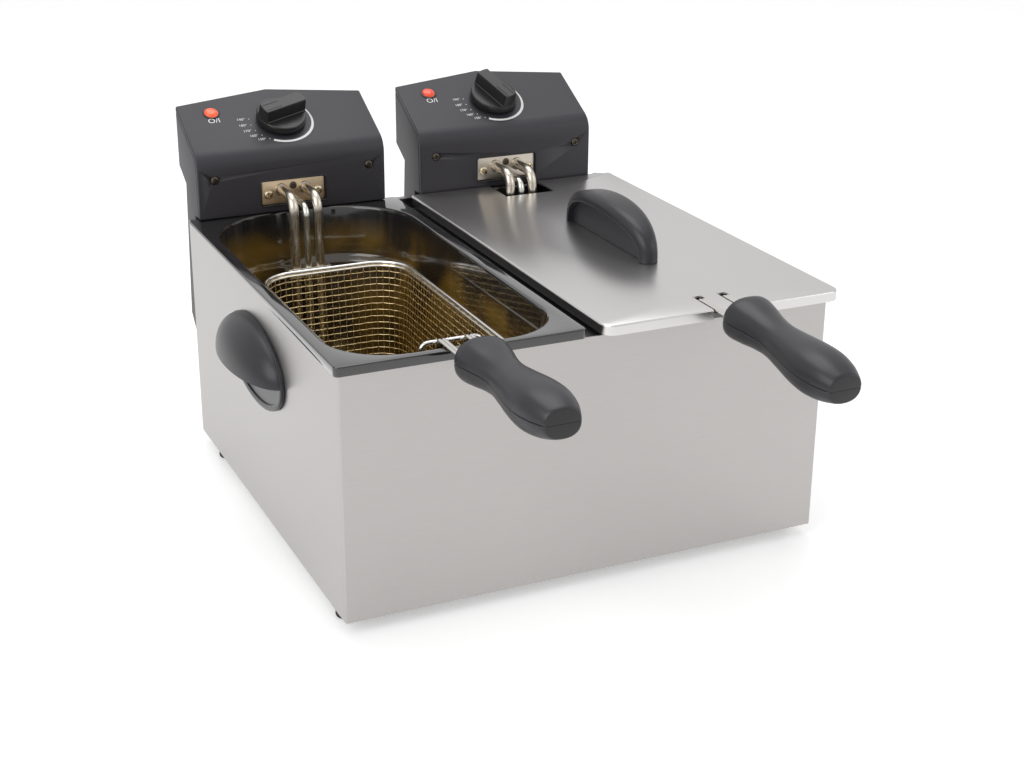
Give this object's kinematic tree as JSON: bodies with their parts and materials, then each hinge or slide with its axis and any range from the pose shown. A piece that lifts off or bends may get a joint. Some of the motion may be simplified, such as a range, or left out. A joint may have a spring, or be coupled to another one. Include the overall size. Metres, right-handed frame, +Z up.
{
  "type": "deep fryer",
  "caption": "Deep fryer with side-by-side enamel oil bowls, lift-off thermostat heads with heating elements, wire frying baskets with long grips, and a steel housing.",
  "frame": {"origin": "centre of the bounding box in plan, on the surface that the feet stand on", "axes": "+Z up, -Y towards the front with the basket grips, +X to the right seen from the front"},
  "size_m": [0.4186, 0.559, 0.289],
  "materials": {
    "brushed_steel": "horizontally brushed stainless sheet",
    "lid_steel": "finely brushed stainless pressing with a bright lip",
    "painted_steel": "black painted sheet",
    "black_enamel": "glossy black enamel on steel",
    "head_plastic": "matt charcoal plastic",
    "soft_black": "satin soft-touch charcoal plastic",
    "black_plastic": "black plastic",
    "knob_plastic": "satin black plastic",
    "rubber": "black rubber",
    "nickel": "nickelled tube, slightly warm",
    "chrome_wire": "bright chromed wire",
    "gilt_mesh": "woven wire with a golden cast",
    "dark_screw": "dark plated screw",
    "red_lens": "translucent red lamp lens",
    "ceramic": "cream moulded insulator"
  },
  "bodies": {
    "housing": {"housing_wrap": "brushed_steel", "back_panel": "brushed_steel", "base_plate": "painted_steel", "centre_divider": "painted_steel", "foot_front_left": "rubber", "foot_front_right": "rubber", "foot_rear_left": "rubber", "foot_rear_right": "rubber", "side_handle_left": "soft_black", "side_handle_right": "soft_black", "left_guide_rail": "painted_steel", "right_guide_rail": "painted_steel"},
    "left_bowl_body": {"left_bowl": "black_enamel"},
    "left_head_body": {"left_head_cover": "head_plastic", "left_head_shell": "head_plastic", "left_element_plate": "nickel", "left_heating_element": "nickel", "left_sensor_tube": "nickel", "left_element_clamp": "nickel", "left_terminal_block": "ceramic", "left_safety_switch": "black_plastic", "left_cord_gland": "rubber", "left_head_screw_left": "dark_screw", "left_head_screw_right": "dark_screw", "left_thermostat": "ceramic", "left_lamp_lens": "red_lens"},
    "left_knob_body": {"left_knob": "knob_plastic"},
    "left_basket_body": {"left_basket": "gilt_mesh", "left_basket_rim": "chrome_wire", "left_basket_bracket": "chrome_wire", "left_handle_wires": "chrome_wire", "left_grip_upper": "soft_black", "left_grip_lower": "soft_black"},
    "right_bowl_body": {"right_bowl": "black_enamel"},
    "right_head_body": {"right_head_cover": "head_plastic", "right_head_shell": "head_plastic", "right_element_plate": "nickel", "right_heating_element": "nickel", "right_sensor_tube": "nickel", "right_element_clamp": "nickel", "right_terminal_block": "ceramic", "right_safety_switch": "black_plastic", "right_cord_gland": "rubber", "right_head_screw_left": "dark_screw", "right_head_screw_right": "dark_screw", "right_thermostat": "ceramic", "right_lamp_lens": "red_lens"},
    "right_knob_body": {"right_knob": "knob_plastic"},
    "right_basket_body": {"right_basket": "gilt_mesh", "right_basket_rim": "chrome_wire", "right_basket_bracket": "chrome_wire", "right_handle_wires": "chrome_wire", "right_grip_upper": "soft_black", "right_grip_lower": "soft_black"},
    "right_lid_body": {"right_lid": "lid_steel", "right_lid_handle": "soft_black"}
  },
  "joints": [
    {"name": "left_bowl_lift", "type": "slide", "parent": "housing", "child": "left_bowl_body", "axis": [0, 0, 1], "range_m": [0, 0.18]},
    {"name": "left_head_lift", "type": "slide", "parent": "left_bowl_body", "child": "left_head_body", "axis": [0, 0, 1], "range_m": [0, 0.2]},
    {"name": "left_basket_lift", "type": "slide", "parent": "left_head_body", "child": "left_basket_body", "axis": [0, 0, 1], "range_m": [0, 0.16]},
    {"name": "left_knob_turn", "type": "hinge", "parent": "left_head_body", "child": "left_knob_body", "pos_m": [-0.098, 0.24458, 0.26267], "axis": [0, -0.4695, 0.8829], "range_deg": [-34, 227]},
    {"name": "right_bowl_lift", "type": "slide", "parent": "housing", "child": "right_bowl_body", "axis": [0, 0, 1], "range_m": [0, 0.18]},
    {"name": "right_head_lift", "type": "slide", "parent": "right_bowl_body", "child": "right_head_body", "axis": [0, 0, 1], "range_m": [0, 0.2]},
    {"name": "right_basket_lift", "type": "slide", "parent": "right_head_body", "child": "right_basket_body", "axis": [0, 0, 1], "range_m": [0, 0.16]},
    {"name": "right_knob_turn", "type": "hinge", "parent": "right_head_body", "child": "right_knob_body", "pos_m": [0.092, 0.24458, 0.26267], "axis": [0, -0.4695, 0.8829], "range_deg": [-127, 134]},
    {"name": "right_lid_lift", "type": "slide", "parent": "right_basket_body", "child": "right_lid_body", "axis": [0, 0, 1], "range_m": [0, 0.12]}
  ]
}
